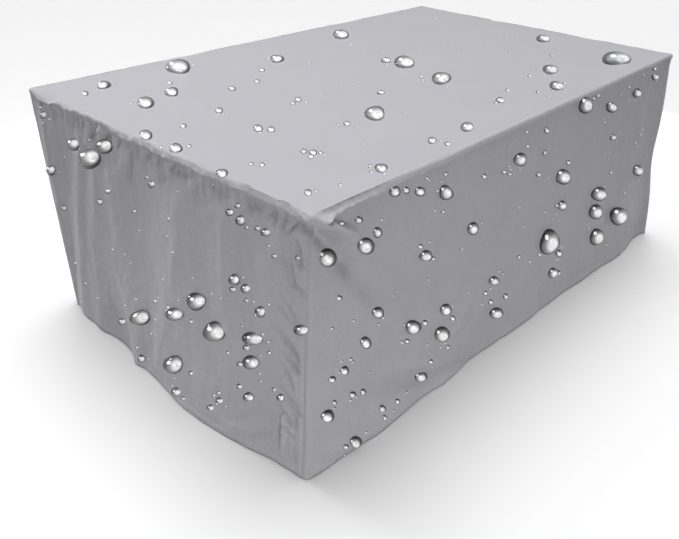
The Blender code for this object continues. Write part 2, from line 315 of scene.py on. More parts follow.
FRONT = Side(
    "front", "near", "right", LENGTH, 0.006, 2.2,
    lines=rows(Line, (
        (0.06, 0.08, 0.06, 0.0, 0.0),
        (0.4, 0.42, 0.4, 0.0, 0.0),
        (0.622, 0.632, 0.56, 0.006, 0.003),
        (0.72, 0.74, 0.7, 0.0, -0.001),
        (0.9, 0.93, 0.97, 0.004, 0.006),
        (1.06, 1.08, 1.12, -0.002, -0.001),
        (1.25, 1.23, 1.29, 0.004, 0.006),
        (1.42, 1.4, 1.43, -0.001, 0.0),
        (1.56, 1.58, 1.54, 0.003, 0.008),
        (1.69, 1.7, 1.68, 0.0, 0.0),
    )),
    lobes=rows(Lobe, (
        (0.24, 0.13, 0.012), (0.52, 0.08, 0.007), (0.66, 0.08, -0.006),
        (0.97, 0.09, -0.004), (1.5, 0.13, 0.008), (1.725, 0.075, -0.012),
    )),
    creases=rows(Crease, (
        (0.094, 0.112, 38, 0.12, 0.026, -0.0165),
        (0.155, 0.194, 42, 0.17, 0.03, -0.014),
        (0.24, 0.29, 52, 0.18, 0.03, -0.011),
        (0.4, 0.385, 58, 0.15, 0.036, -0.004),
        (0.068, 0.043, 58, 0.12, 0.011, 0.025),
        (0.19, 0.13, 46, 0.18, 0.026, 0.004),
        (0.345, 0.425, 30, 0.15, 0.04, -0.004),
        (0.575, 0.505, -38, 0.12, 0.022, 0.0034),
        (0.735, 0.042, -20, 0.05, 0.006, 0.002),
        (0.722, 0.045, -20, 0.05, 0.007, -0.0016),
        (0.88, 0.52, -58, 0.12, 0.014, 0.0018),
        (0.93, 0.555, -58, 0.12, 0.014, -0.0018),
        (0.99, 0.6, -62, 0.13, 0.014, 0.0018),
        (0.25, 0.59, 62, 0.16, 0.026, -0.007),
        (0.41, 0.635, 66, 0.17, 0.024, -0.013),
        (0.56, 0.672, 74, 0.15, 0.016, -0.007),
        (0.36, 0.56, 60, 0.19, 0.018, 0.005),
        (0.12, 0.67, 74, 0.09, 0.012, 0.0026),
    )),
    pucker_rise=0.0006,
    pucker_steps=(0.016, 0.06),
    strip=rows(Leg, (
        (-0.034, 0.003, 0.009, 0.003), (-0.02, 0.004, 0.012, 0.006),
        (0.0, 0.004, 0.018, 0.0095), (0.018, 0.004, 0.018, 0.009, 0.4),
        (0.036, 0.004, 0.017, 0.008, 1.0), (0.052, 0.004, 0.015, 0.008, 1.0),
        (0.08, 0.004, 0.012, 0.0085, 1.0), (0.127, 0.004, 0.012, 0.0075, 1.0),
        (0.197, 0.004, 0.014, 0.006, 0.8),
        (0.3, 0.003, 0.013, 0.003, 0.2), (0.45, 0.003, 0.014, 0.0028),
        (0.7, 0.003, 0.013, 0.0026), (1.8, 0.003, 0.011, 0.0016),
    )),
    slumps=((0.43, 0.06, 0.002), (1.2, 0.1, 0.001)),
    seed=23,
)

RIGHT = Side(
    "right", "right", "far", WIDTH, 0.0085, 1.8,
    lines=rows(Line, (
        (0.1, 0.1, 0.11, -0.001, 0.0),
        (0.18, 0.19, 0.23, 0.008, 0.009),
        (0.25, 0.27, 0.31, 0.0, 0.0),
        (0.42, 0.46, 0.5, 0.01, 0.012),
        (0.5, 0.54, 0.58, 0.0, 0.001),
        (0.64, 0.63, 0.66, -0.005, -0.003),
        (0.88, 0.85, 0.83, 0.009, 0.01),
        (0.93, 0.91, 0.9, 0.0, 0.0),
    )),
    lobes=rows(Lobe, ((0.24, 0.09, 0.018), (0.5, 0.12, 0.03), (0.84, 0.1, 0.022))),
    creases=rows(Crease, (
        (0.33, 0.08, -35, 0.11, 0.012, 0.003),
        (0.56, 0.06, 20, 0.08, 0.01, -0.003),
        (0.96, 0.11, -38, 0.15, 0.018, -0.005),
        (0.7, 0.52, 30, 0.16, 0.02, 0.0028),
    )),
    pucker_rise=0.0011,
    pucker_steps=(0.016, 0.06),
    strip=rows(Leg, (
        (-0.03, 0.003, 0.009, 0.0008), (0.0, 0.006, 0.014, 0.0018),
        (0.12, 0.004, 0.01, 0.0003), (1.0, 0.004, 0.01, 0.0003),
        (1.1, 0.006, 0.011, 0.0006),
    )),
    slumps=((0.31, 0.04, 0.003), (0.72, 0.02, 0.0035)),
    seed=37,
)

BACK = Side(
    "back", "far", "back_left", LENGTH, 0.0095, 1.8,
    lines=rows(Line, (
        (0.13, 0.14, 0.15, -0.001, 0.0),
        (0.22, 0.24, 0.26, 0.008, 0.01),
        (0.33, 0.35, 0.38, 0.0, 0.0),
        (0.56, 0.6, 0.63, 0.01, 0.011),
        (0.65, 0.69, 0.73, 0.0, 0.001),
        (0.83, 0.84, 0.86, -0.005, -0.003),
        (1.06, 1.04, 1.05, 0.008, 0.008),
        (1.14, 1.12, 1.14, 0.0, 0.0),
        (1.44, 1.43, 1.4, 0.01, 0.011),
        (1.52, 1.52, 1.5, -0.001, 0.0),
    )),
    lobes=rows(Lobe, (
        (0.26, 0.12, 0.02), (0.63, 0.14, 0.028),
        (1.05, 0.1, 0.014), (1.41, 0.15, 0.032),
    )),
    creases=rows(Crease, (
        (0.11, 0.11, 38, 0.16, 0.02, -0.006),
        (0.42, 0.07, -30, 0.09, 0.012, 0.003),
        (0.98, 0.06, 25, 0.08, 0.01, -0.003),
        (1.68, 0.12, -40, 0.16, 0.02, -0.0055),
        (1.25, 0.54, -35, 0.17, 0.022, 0.003),
    )),
    pucker_rise=0.001,
    pucker_steps=(0.016, 0.06),
    strip=rows(Leg, (
        (-0.03, 0.003, 0.009, 0.0008), (0.0, 0.006, 0.014, 0.0018),
        (0.12, 0.004, 0.01, 0.0003), (1.7, 0.003, 0.009, 0.0002),
        (1.8, 0.004, 0.009, 0.0003),
    )),
    slumps=((0.5, 0.06, 0.0025), (1.25, 0.05, 0.003)),
    seed=41,
)

SIDES = (FRONT, RIGHT, BACK, LEFT)

GATHER_SIZES = (0.4, 1.4)      # of the gathers under the top seam,
GATHER_DEPTH = (0.009, 0.019)  # and their middle's depth and their length: the least of it,
GATHER_LENGTH = (0.014, 0.024)     # and what their size adds
GATHER_LEANS = (-42, 24)
GATHER_WIDTHS = (0.0040, 0.0085)
GATHER_MARGIN = 0.05
AT_RIGHT = Slants((0.070, 0.670), (0.036, 0.076), (18, 72), (0.022, 0.056), (0.0045, 0.0095),
                  (-0.3, 1.2), (0.014, 0.040))
AT_LEFT = Slants((0.090, 0.660), (0.030, 0.045), (50, 76), (0.020, 0.036), (0.006, 0.010),
                 (0.4, 1.2), (0.040, 0.100))
LEFT_SLANT_RISE = 0.0009


# --- Curves and noise


def smooth(value):
    """Ease from 0 to 1."""
    value = np.clip(value, 0.0, 1.0)
    return np.clip(value ** 3 * (value * (value * 6 - 15) + 10), 0.0, 1.0)


def fade(value, start, reach):
    """Ease from 0 at a start to 1 a reach further on."""
    return smooth((value - start) / reach)


def mix(start, end, share):
    return start + (end - start) * share


def bell(distance):
    return np.exp(-distance ** 2)


def bumps(table, along, level=0.0):
    """A level with bumps on it, from rows of (middle, half width, height)."""
    for middle, half_width, height in table:
        level = level + height * bell((along - middle) / half_width)
    return level


def noise(seed, across, down):
    """Smooth noise from -1 to 1, about one bump a unit."""
    size = 61
    table = np.random.default_rng(seed).uniform(-1, 1, (size, size))
    column = np.floor(across).astype(int)
    row = np.floor(down).astype(int)
    right = smooth(across - column)
    below = smooth(down - row)
    upper = mix(table[row % size, column % size], table[row % size, (column + 1) % size], right)
    row += 1
    lower = mix(table[row % size, column % size], table[row % size, (column + 1) % size], right)
    return mix(upper, lower, below)


def quadratic(first, middle, last, share):
    """A curve through three values, at shares 0, a half and 1."""
    return (first * (2 * share - 1) * (share - 1) + middle * 4 * share * (1 - share)
            + last * share * (2 * share - 1))


def runs(points):
    """Distance run down the rows of an array of points, from 0 at its first row."""
    steps = np.linalg.norm(np.diff(points, axis=0), axis=-1)
    return np.concatenate([np.zeros_like(steps[:1]), np.cumsum(steps, axis=0)])


# --- Side panels


def corner_shift(corner, down):
    """Plan shift of an upright corner at a share of the drop, outward in X and in Y."""
    held = HELD_DEPTH / DROP
    free = np.maximum(down - held, 0.0) / (1 - held)
    dent = corner.dent * bell((down - DENT[0]) / DENT[1])
    build = free ** corner.growth
    return corner.lean_x * build - dent, corner.lean_y * build - dent


def corner_radius(corner, down):
    return mix(ROLL, corner.hem_radius, down)


def facets(side, along, down):
    """Rise of the long folds: facets between the crest and valley lines, crests the sharper."""
    rise = np.zeros_like(along)
    for row in range(along.shape[0]):
        share = down[row, 0]
        places = [0.0]
        heights = [0.0]
        for line in side.lines:
            places.append(quadratic(line.top, line.middle, line.hem, share))
            heights.append(mix(line.top_rise, line.hem_rise, share))
        places = np.array(places + [side.length])
        heights = np.array(heights + [0.0])
        after = np.clip(np.searchsorted(places, along[row]), 1, len(places) - 1)
        part = (along[row] - places[after - 1]) / (places[after] - places[after - 1])
        part = np.clip(part, 0.0, 1.0)
        start, end = heights[after - 1], heights[after]
        climb = part * (1 - CREST + CREST * part)
        fall = (1 - part) * (1 - CREST + CREST * (1 - part))
        rise[row] = np.where(end > start, mix(start, end, climb), mix(end, start, fall))
    return rise


def soften(rise, passes):
    """Round the facets' edges across the columns."""
    for _ in range(passes):
        padded = np.pad(rise, ((0, 0), (1, 1)), mode="edge")
        rise = (padded[:, :-2] + 2 * padded[:, 1:-1] + padded[:, 2:]) / 4
    return rise


def creases_rise(creases, along, depth):
    """How far creases push the cloth outward."""
    rise = np.zeros_like(along)
    for crease in creases:
        cosine, sine = math.cos(math.radians(crease.lean)), math.sin(math.radians(crease.lean))
        across = (along - crease.along) * cosine - (depth - crease.depth) * sine
        run = (along - crease.along) * sine + (depth - crease.depth) * cosine
        ends = np.exp(-(run / (crease.length * CREASE_ENDS)) ** 4)
        rise += crease.rise * ends * bell(across / crease.width)
    return rise


def slants(rng, spans):
    """Slanting creases down an upright seam: depth, way from it, lean, length, width, rise."""
    depth = spans.depths[0]
    while depth < spans.depths[1]:
        drawn = (spans.away, spans.lean, spans.length, spans.width, spans.rise)
        yield depth, *(rng.uniform(*span) for span in drawn)
        depth += rng.uniform(*spans.step)


def gathers(side):
    """Small gathers under the top seam, and slanting creases beside both upright seams."""
    rng = np.random.default_rng(side.seed)
    found = []
    along = GATHER_MARGIN
    while along < side.length - GATHER_MARGIN:
        size = rng.uniform(*GATHER_SIZES)
        pull = bumps(side.pulls, along, 1.0)
        found.append(Crease(
            along, GATHER_DEPTH[0] + GATHER_DEPTH[1] * size,
            rng.uniform(GATHER_LEANS[0], GATHER_LEANS[1] / pull),
            GATHER_LENGTH[0] + GATHER_LENGTH[1] * size, rng.uniform(*GATHER_WIDTHS),
            side.pucker_rise * size * pull * rng.choice((-1, 1))))
        along += rng.uniform(*side.pucker_steps)
    for depth, away, lean, length, width, rise in slants(rng, AT_RIGHT):
        found.append(Crease(
            side.length - away, depth, lean, length, width, -side.slant_rise * rise))
    for depth, away, lean, length, width, rise in slants(rng, AT_LEFT):
        found.append(Crease(away, depth, -lean, length, width, -LEFT_SLANT_RISE * rise))
    return found


def creased(side, along, depth):
    """How far a panel's own creases and gathers push it outward."""
    return creases_rise(side.creases + tuple(gathers(side)), along, depth)


def wall_rise(side, along, down):
    """How far folds, creases and the hem's lobes push a panel outward."""
    depth = down * DROP
    edge = np.minimum(along, side.length - along)
    folds = soften(facets(side, along, down), ROUNDING) * fade(depth, *FOLDS_BEGIN)
    for lobe in side.lobes:
        build = down ** (side.lobe_growth * lobe.late)
        folds += lobe.reach * bell((along - lobe.along) / lobe.half_width) * build
    folds *= smooth(edge / FOLD_MARGIN)
    small = creased(side, along, depth) * smooth(edge / CREASE_MARGIN)
    uneven = fade(depth, *UNEVEN_BEGINS) * smooth(edge / UNEVEN_MARGIN)
    for step, (height, across, deep) in enumerate(UNEVENNESS):
        small += uneven * height * noise(side.seed + step, along / across, depth / deep)
    height, across, deep = SWAY
    sway = fade(depth, *SWAY_BEGINS) * height * noise(side.seed + 3, along / across, depth / deep)
    band = fade(depth, DROP - HEM_BAND, HEM_RISE) * HEM_STEP
    band -= fade(depth, DROP - HEM_TUCK, 2 * HEM_TUCK) * HEM_TUCK / 2
    return folds + small + sway * uneven + band


def edge_dip(side, along):
    """How far a top edge's seam sags below the flat top."""
    dip = bumps(side.slumps, along, np.zeros_like(along))
    scallop = noise(side.seed + 5, along / SCALLOP_PITCH, np.zeros_like(along))
    dip += side.pucker_rise * (SCALLOPS[0] + SCALLOPS[1] * scallop)
    return dip * smooth(np.minimum(along, side.length - along) / EDGE_MARGIN)


def side_frame(side):
    """Plan directions of a panel, along it and out of it, and the place of its left corner."""
    start = CORNERS[side.left_corner]
    end = CORNERS[side.right_corner]
    along = np.array([(end.x_side - start.x_side) / 2, (end.y_side - start.y_side) / 2, 0.0])
    outward = np.array([along[1], -along[0], 0.0])
    origin = np.array([start.x_side * HALF_X, start.y_side * HALF_Y, 0.0])
    return along, outward, origin


def wall_points(side, part, turn, down, inward=0.0):
    """Points on a side panel's outer face, for arrays of the same (row, column) shape.

    part is the share of the way between the corner rounds, turn the angle around a corner
    (below zero at the left one) and inward a step back along the normal.
    """
    along_dir, outward_dir, origin = side_frame(side)
    start = CORNERS[side.left_corner]
    end = CORNERS[side.right_corner]
    start_radius = corner_radius(start, down)
    end_radius = corner_radius(end, down)
    flat = start_radius + part * (side.length - start_radius - end_radius)
    radius = np.where(turn < 0, start_radius, end_radius)
    after_start = start_radius * (math.pi / 4 + np.minimum(turn, 0) - 1) + flat
    before_end = end_radius * (math.pi / 4 - np.maximum(turn, 0) - 1) + side.length - flat
    proud = np.where(turn == 0, wall_rise(side, flat, down), 0.0)
    proud += creases_rise(start.folds, after_start, down * DROP)
    proud += creases_rise(end.folds, -before_end, down * DROP)
    proud -= inward
    rise = proud * np.cos(turn) - radius * (1 - np.cos(turn))
    along = flat + (radius + proud) * np.sin(turn)
    start_shift = corner_shift(start, down)
    end_shift = corner_shift(end, down)
    points = origin + along[..., None] * along_dir + rise[..., None] * outward_dir
    points[..., 0] += mix(start.x_side * start_shift[0], end.x_side * end_shift[0], part)
    points[..., 1] += mix(start.y_side * start_shift[1], end.y_side * end_shift[1], part)
    points[..., 2] = -mix(SEAM_LEVEL + edge_dip(side, flat), DROP, down)
    return points, flat


def panel_rows(cell):
    """Shares of the drop of a side panel's rows: close under the seam and at the hem's band."""
    near_seam = np.arange(0.0, FINE_DEPTH, cell / 2)
    middle = np.arange(FINE_DEPTH, DROP - HEM_BAND - cell / 2, cell)
    step = DROP - HEM_BAND + np.array([0.0, 0.0008, 0.0016])
    band = np.linspace(DROP - HEM_BAND + 0.005, DROP, 5)
    return np.concatenate([near_seam, middle, step, band]) / DROP


def panel_columns(side):
    """Each column as (part, turn, inward): seam allowance, round, straight, round, allowance."""
    gap = SEAM_STEP
    left_turn = math.radians(90 - CORNERS[side.left_corner].seam_turn)
    right_turn = math.radians(CORNERS[side.right_corner].seam_turn)
    count = round(side.length / side.cell)
    close = np.arange(1, FINE_COLUMNS[0]) * FINE_COLUMNS[1]
    close = np.concatenate([(0.0008,), close]) / side.length
    straight = np.unique(np.concatenate([np.arange(count + 1) / count, close, 1 - close]))
    columns = [(0.0, -left_turn + gap, ALLOWANCE), (0.0, -left_turn + gap, SEAM_NICK)]
    columns += [(0.0, -left_turn + 2 * gap, 0.0)]
    columns += [(0.0, -turn, 0.0) for turn in np.linspace(left_turn - 10 * gap, 0, 18)[:-1]]
    columns += [(share, 0.0, 0.0) for share in straight]
    if right_turn > 0:
        columns += [(1.0, turn, 0.0) for turn in np.linspace(0, right_turn - 10 * gap, 10)[1:]]
        columns += [(1.0, right_turn - 2 * gap, 0.0)]
        columns += [(1.0, right_turn - gap, SEAM_NICK), (1.0, right_turn - gap, ALLOWANCE)]
    else:
        columns += [(1.0, 1e-6, SEAM_NICK), (1.0, 1e-6, ALLOWANCE)]
    return np.array(columns).T


# --- Mesh and modifier helpers


def grid_mesh(name, points, uv):
    """A sheet of quads over an array of points (row, column), facing out, with its flat UVs."""
    rows, columns = points.shape[:2]
    index = np.arange(rows * columns).reshape(rows, columns)
    quads = np.stack([index[:-1, :-1], index[1:, :-1], index[1:, 1:], index[:-1, 1:]], -1)
    quads = quads.reshape(-1, 4)
    mesh = bpy.data.meshes.new(name)
    mesh.vertices.add(rows * columns)
    mesh.vertices.foreach_set("co", points.reshape(-1))
    mesh.loops.add(quads.size)
    mesh.loops.foreach_set("vertex_index", quads.reshape(-1))
    mesh.polygons.add(len(quads))
    mesh.polygons.foreach_set("loop_start", np.arange(len(quads)) * 4)
    mesh.polygons.foreach_set("loop_total", np.full(len(quads), 4))
    layer = mesh.uv_layers.new(name="pattern")
    layer.data.foreach_set("uv", uv.reshape(-1, 2)[quads.reshape(-1)].reshape(-1))
    mesh.update(calc_edges=True)
    mesh.shade_smooth()
    return mesh


def ring_quads(rings, around, first=0):
    """Quads between rings of points, from a first point on."""
    return [(first + ring * around + step, first + ring * around + (step + 1) % around,
             first + (ring + 1) * around + (step + 1) % around,
             first + (ring + 1) * around + step)
            for ring in range(rings - 1) for step in range(around)]


def add_object(name, mesh, material):
    mesh.materials.append(material)
    made = bpy.data.objects.new(name, mesh)
    bpy.context.scene.collection.objects.link(made)
    return made


def add_piece(name, mesh, material):
    """Link a piece, give it its material and let it move with the cover."""
    piece = add_object(name, mesh, material)
    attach(piece, "root")
    return piece


def joined(name, parts, material):
    """One mesh piece from (points, faces, flat coordinates) parts."""
    vertices, faces, plan = [], [], []
    for points, part_faces, part_plan in parts:
        first = len(vertices)
        vertices += points.tolist()
        plan += part_plan.tolist()
        faces += [tuple(first + corner for corner in face) for face in part_faces]
    mesh = bpy.data.meshes.new(name)
    mesh.from_pydata(vertices, [], faces)
    layer = mesh.uv_layers.new(name="pattern")
    for loop in mesh.loops:
        layer.data[loop.index].uv = plan[loop.vertex_index]
    mesh.shade_smooth()
    piece = add_object(name, mesh, material)
    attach(piece, "root")
    return piece


def thicken(piece, thickness, group=None, thin_share=1.0):
    solidify = piece.modifiers.new("cloth_thickness", "SOLIDIFY")
    solidify.thickness = thickness
    solidify.offset = -1
    solidify.use_quality_normals = True
    if group:
        solidify.vertex_group = group
        solidify.thickness_vertex_group = thin_share


# --- Materials


YARN = 0.0007            # the weave's pitch,
WEAVE_HEIGHT = 0.00004   # its relief,
WEAVE_TONE = 0.02        # and its contrast
CLOUDS = 7.0             # bumps a metre: of the cloth's broad soft mottling,
SPECKS = 60.0            # its specks,
SPOTS = 170.0            # its finest spots
CRUMPLES = 34.0          # and its small creases in relief
STREAKS = (40.0, 3.0, 1.0)     # the same for faint marks that run down the cloth, along and down
SPECK_SHARE = 0.3        # share of the specks in the mottling; the clouds have the rest
SHADING_SPECKS = (0.15, 0.8)       # how dark the painted shading is between the specks, and what a speck adds
ROUGHNESS = (0.46, 0.16)       # the cloth's roughness between the specks, and what a speck adds


class Nodes:
    """Short names for building one material's node tree."""

    def __init__(self, name):
        self.material = bpy.data.materials.new(name)
        self.material.use_nodes = True
        self.tree = self.material.node_tree
        self.shader = self.tree.nodes["Principled BSDF"]

    def add(self, kind, inputs=(), **settings):
        node = self.tree.nodes.new(kind)
        for key, value in settings.items():
            setattr(node, key, value)
        for key, value in dict(inputs).items():
            if isinstance(value, bpy.types.NodeSocket):
                self.tree.links.new(value, node.inputs[key])
            else:
                node.inputs[key].default_value = value
        return node

    def fix(self, constants):
        """Set constants on the shader's own sockets."""
        for key, value in constants.items():
            self.shader.inputs[key].default_value = value

    def math(self, operation, *values):
        return self.add("ShaderNodeMath", dict(enumerate(values)), operation=operation).outputs[0]

    def mix_color(self, factor, first, second, blend="MIX"):
        colors = {0: factor, 6: first, 7: second}
        node = self.add("ShaderNodeMix", colors, data_type="RGBA", blend_type=blend)
        return node.outputs[2]

    def noise(self, vector, scale, detail=2.0):
        node = self.add("ShaderNodeTexNoise", {"Vector": vector, "Scale": scale, "Detail": detail})
        return node.outputs["Fac"]

    def step(self, value, low, high):
        """Rise smoothly from 0 at low to 1 at high, which may be the smaller of the two."""
        node = self.add("ShaderNodeMapRange", {"Value": value, "From Min": low, "From Max": high})
        node.interpolation_type = "SMOOTHSTEP"
        return node.outputs["Result"]

    def link(self, output, input_name):
        self.tree.links.new(output, self.shader.inputs[input_name])


def cloth_material(name, light, dark, crumples, mottling, streaks=0.0):
    """Coated plain-weave polyester: fine weave in relief, soft mottling, a slight sheen.

    crumples is the height of its small creases, mottling the strength of its small light and dark
    spots, and streaks that of faint marks that run down the cloth.
    """
    nodes = Nodes(name)
    nodes.fix({"Metallic": 0.0, "Specular IOR Level": 0.35,
               "Sheen Weight": 0.12, "Sheen Roughness": 0.5})
    place = nodes.add("ShaderNodeTexCoord").outputs["Object"]
    pattern = nodes.add("ShaderNodeUVMap", uv_map="pattern").outputs["UV"]
    axes = nodes.add("ShaderNodeSeparateXYZ", {"Vector": pattern})
    warp = nodes.math("SINE", nodes.math("MULTIPLY", axes.outputs["X"], math.pi / YARN))
    weft = nodes.math("SINE", nodes.math("MULTIPLY", axes.outputs["Y"], math.pi / YARN))
    weave = nodes.math("MULTIPLY", warp, weft)
    specks = nodes.noise(place, SPECKS, 3.0)
    clouds = nodes.math("MULTIPLY", nodes.noise(place, CLOUDS, 4.0), 1 - SPECK_SHARE)
    tone = nodes.math("ADD", clouds, nodes.math("MULTIPLY", specks, SPECK_SHARE))
    drawn_out = nodes.add("ShaderNodeVectorMath", {0: pattern, 1: STREAKS}, operation="MULTIPLY")
    runs = nodes.noise(drawn_out.outputs["Vector"], 1.0, 1.5)
    tone = nodes.math("MULTIPLY_ADD", nodes.math("SUBTRACT", runs, 0.5), streaks, tone)
    # Painted shade from the points' attribute, speckled, and painted light where it is below zero
    painted_shading = nodes.add("ShaderNodeAttribute", attribute_name="painted_shading").outputs["Fac"]
    shaded = nodes.math("MULTIPLY", painted_shading, nodes.math("MULTIPLY_ADD", specks, SHADING_SPECKS[1], SHADING_SPECKS[0]))
    mottle = nodes.math("MULTIPLY_ADD", nodes.noise(place, SPOTS, 2.0), mottling, -mottling / 2)
    threads = nodes.math("MULTIPLY_ADD", weave, WEAVE_TONE, 1 - WEAVE_TONE)
    threads = nodes.math("ADD", threads, mottle)
    threads = nodes.math("SUBTRACT", threads, shaded)
    threads = nodes.add("ShaderNodeCombineColor", {0: threads, 1: threads, 2: threads}).outputs[0]
    shade = nodes.mix_color(tone, dark, light)
    nodes.link(nodes.mix_color(1.0, shade, threads, "MULTIPLY"), "Base Color")
    nodes.link(nodes.math("MULTIPLY_ADD", specks, ROUGHNESS[1], ROUGHNESS[0]), "Roughness")
    grain = nodes.add("ShaderNodeBump", {
        "Height": weave, "Distance": WEAVE_HEIGHT, "Strength": 0.5})
    crumple = nodes.add("ShaderNodeBump", {
        "Height": nodes.noise(place, CRUMPLES, 4.0), "Distance": crumples, "Strength": 1.0,
        "Normal": grain.outputs["Normal"]})
    nodes.link(crumple.outputs["Normal"], "Normal")
    return nodes.material


LIGHT_CLOTH = (0.525, 0.525, 0.560, 1)
DARK_CLOTH = (0.445, 0.445, 0.480, 1)
top_cloth = cloth_material(
    "top_cloth", (0.505, 0.505, 0.540, 1), (0.465, 0.465, 0.500, 1), 0.0002, 0.02)
end_cloth = cloth_material("end_cloth", LIGHT_CLOTH, DARK_CLOTH, 0.0030, 0.22, 1.0)
wall_cloth = cloth_material("wall_cloth", LIGHT_CLOTH, DARK_CLOTH, 0.0026, 0.18, 0.3)
seam_cloth = cloth_material(
    "seam_cloth", (0.545, 0.545, 0.580, 1), (0.485, 0.485, 0.520, 1), 0.0010, 0.25)


# --- Pieces


def set_painted_shading(mesh, darkness):
    """Give a sheet's points the painted shade, or painted light below zero, that its material adds.
    """
    painted_shading = mesh.attributes.new("painted_shading", "FLOAT", "POINT")
    painted_shading.data.foreach_set("value", darkness.reshape(-1))


def add_wall(side):
    """One side panel with its hem; returns the rows of its face without the allowances."""
    columns = panel_columns(side)
    down, part, turn, inward = np.broadcast_arrays(panel_rows(side.cell)[:, None], *columns)
    depth = down * DROP
    points, flat = wall_points(side, part, turn, down, inward)
    mesh = grid_mesh(side.name + "_cloth", points, np.stack([flat, -depth], -1))
    # Painted shade in the hollows of the creases and gathers, and painted light on their crests
    hollow = np.clip(-creased(side, flat, depth) / CREASE_SHADE_DEPTH, *CREASE_SHADE_RANGE)
    set_painted_shading(mesh, side.crease_shading * hollow * smooth(depth / CREASE_SHADE_START))
    cloth = end_cloth if side.length == WIDTH else wall_cloth
    piece = add_piece(side.name + "_cloth", mesh, cloth)
    group = piece.vertex_groups.new(name="hem_band")
    in_band = np.nonzero(depth.reshape(-1) > DROP - HEM_BAND)[0]
    group.add(in_band.tolist(), 1.0, "REPLACE")
    thicken(piece, HEM, "hem_band", SHEET / HEM)
    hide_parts(side.name + "_panel")
    return points[:, 2:-2]


def top_height(x, y):
    """Height of the top's face over its plan: a slight sag, and dips along the edges."""
    lower = np.zeros_like(x)
    for side in SIDES:
        along_dir, outward_dir, origin = side_frame(side)
        along = (x - origin[0]) * along_dir[0] + (y - origin[1]) * along_dir[1]
        inside = -((x - origin[0]) * outward_dir[0] + (y - origin[1]) * outward_dir[1])
        dip = edge_dip(side, np.clip(along, 0, side.length))
        lower += dip * edge_fall(inside, dip)
    inner = smooth((HALF_X - np.abs(x)) / TOP_RIPPLE_MARGIN)
    inner *= smooth((HALF_Y - np.abs(y)) / TOP_RIPPLE_MARGIN)
    height, across, up = TOP_RIPPLE
    sag = inner * height * (1 + noise(TOP_SEED, x / across, y / up))
    for middle_x, middle_y, half_x, half_y, deep in SAGS:
        sag += deep * bell((x - middle_x) / half_x) * bell((y - middle_y) / half_y)
    return CLOTH - lower - sag


def add_top():
    """The top, with its edges rolled over and turned down to the seams."""
    bends = 7            # rows round the rolled edge
    turn_down = 1.5      # the last row; the roll ends at 1
    bands = np.concatenate([np.linspace(0, 1, bends)[1:], [turn_down]])

    def axis(size, cell):
        near = np.arange(0, TOP_MARGIN, TOP_FINE)
        middle = np.arange(TOP_MARGIN, 2 * size - TOP_MARGIN, cell)
        line = np.concatenate([near, middle, 2 * size - near[::-1]]) - size
        place = np.concatenate([np.full(bends, -size), line, np.full(bends, size)])
        over = np.concatenate([-bands[::-1], np.zeros(len(line)), bands])
        return place, over

    x, over_x = axis(HALF_X - ROLL, TOP_CELLS[0])
    y, over_y = axis(HALF_Y - ROLL, TOP_CELLS[1])
    x, y = np.meshgrid(x, -y)
    over_x, over_y = np.meshgrid(over_x, -over_y)
    over = np.maximum(np.abs(over_x), np.abs(over_y))
    size = np.maximum(np.hypot(over_x, over_y), 1e-9)
    angle = np.minimum(over, 1.0) * math.pi / 2
    outward = ROLL * np.sin(angle)
    drop = ROLL * (1 - np.cos(angle)) + np.maximum(over - 1.0, 0.0) / (turn_down - 1) * RIM
    x = x + outward * over_x / size
    y = y + outward * over_y / size
    z = top_height(x, y) - drop
    points = np.stack([x, y, z], -1)
    uv = np.stack([x + over_x * ROLL_FLAT, y + over_y * ROLL_FLAT], -1)
    mesh = grid_mesh("top_cloth", points, uv)
    piece = add_piece("top_cloth", mesh, top_cloth)
    thicken(piece, SHEET)
    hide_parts("top_panel")


def strip_path(side):
    """Stations along a strip: edge place, outward normal, own along, corner part, neighbour part.

    The strip starts on the panel to the left, turns the left corner and runs to the right one.
    """
    along_dir, outward_dir, origin = side_frame(side)
    before = next(other for other in SIDES if other.right_corner == side.left_corner)
    before_along, before_outward, _ = side_frame(before)
    beyond = -np.arange(WRAP, 0.001, -STATION)
    turns = np.radians(np.arange(-90, 0, 15))
    own = np.arange(0.0, side.length - 2 * ROLL, STATION)
    center = origin + ROLL * (along_dir - outward_dir)
    rounds = np.cos(turns)[:, None] * outward_dir + np.sin(turns)[:, None] * along_dir
    places = np.concatenate([
        origin + (beyond - ROLL)[:, None] * before_along,
        center + ROLL * rounds,
        origin + (own + ROLL)[:, None] * along_dir])
    normals = np.concatenate([
        np.broadcast_to(before_outward, (len(beyond), 3)), rounds,
        np.broadcast_to(outward_dir, (len(own), 3))])
    along = np.concatenate([ROLL * (1 - math.pi / 2) + beyond, ROLL * (1 + turns), own + ROLL])
    reach = np.concatenate([-beyond, 0 * turns, np.minimum(own, side.length - 2 * ROLL - own)])
    return before, places, normals, along, reach, len(beyond), len(beyond) + len(turns)


def edge_fall(inside, dip):
    """Share of an edge's dip that is left at a distance in over the top."""
    return np.clip(1 - inside / (FALL[0] + FALL[1] * dip), 0, 1) ** FALL[2]


def strip_sections(inner, lower, dip):
    """Rows of a strip's section: outward, height, angle of its face, share of the puff.

    Four lie on the top, six go round the edge and five down the panel.
    """
    section = []
    for share in (1.0, 0.7, 0.4, 0.15):
        fall = edge_fall(inner * share, dip)
        section.append((-ROLL - inner * share, -dip * fall, 0.0, 0.0))
    for degrees, swell in ((0, 0.0), (18, 0.02), (36, 0.07), (54, 0.16), (72, 0.28), (90, 0.42)):
        angle = math.radians(degrees)
        outward = ROLL * (math.sin(angle) - 1) + 0 * dip
        section.append((outward, ROLL * (math.cos(angle) - 1) - dip, angle, swell))
    for share, swell in ((0.25, 0.64), (0.5, 0.86), (0.75, 1.0), (0.92, 0.92), (1.0, 0.62)):
        depth = ROLL + np.maximum(lower - ROLL, 0.001) * share
        section.append((0 * dip, -depth - dip, math.pi / 2, swell))
    return section


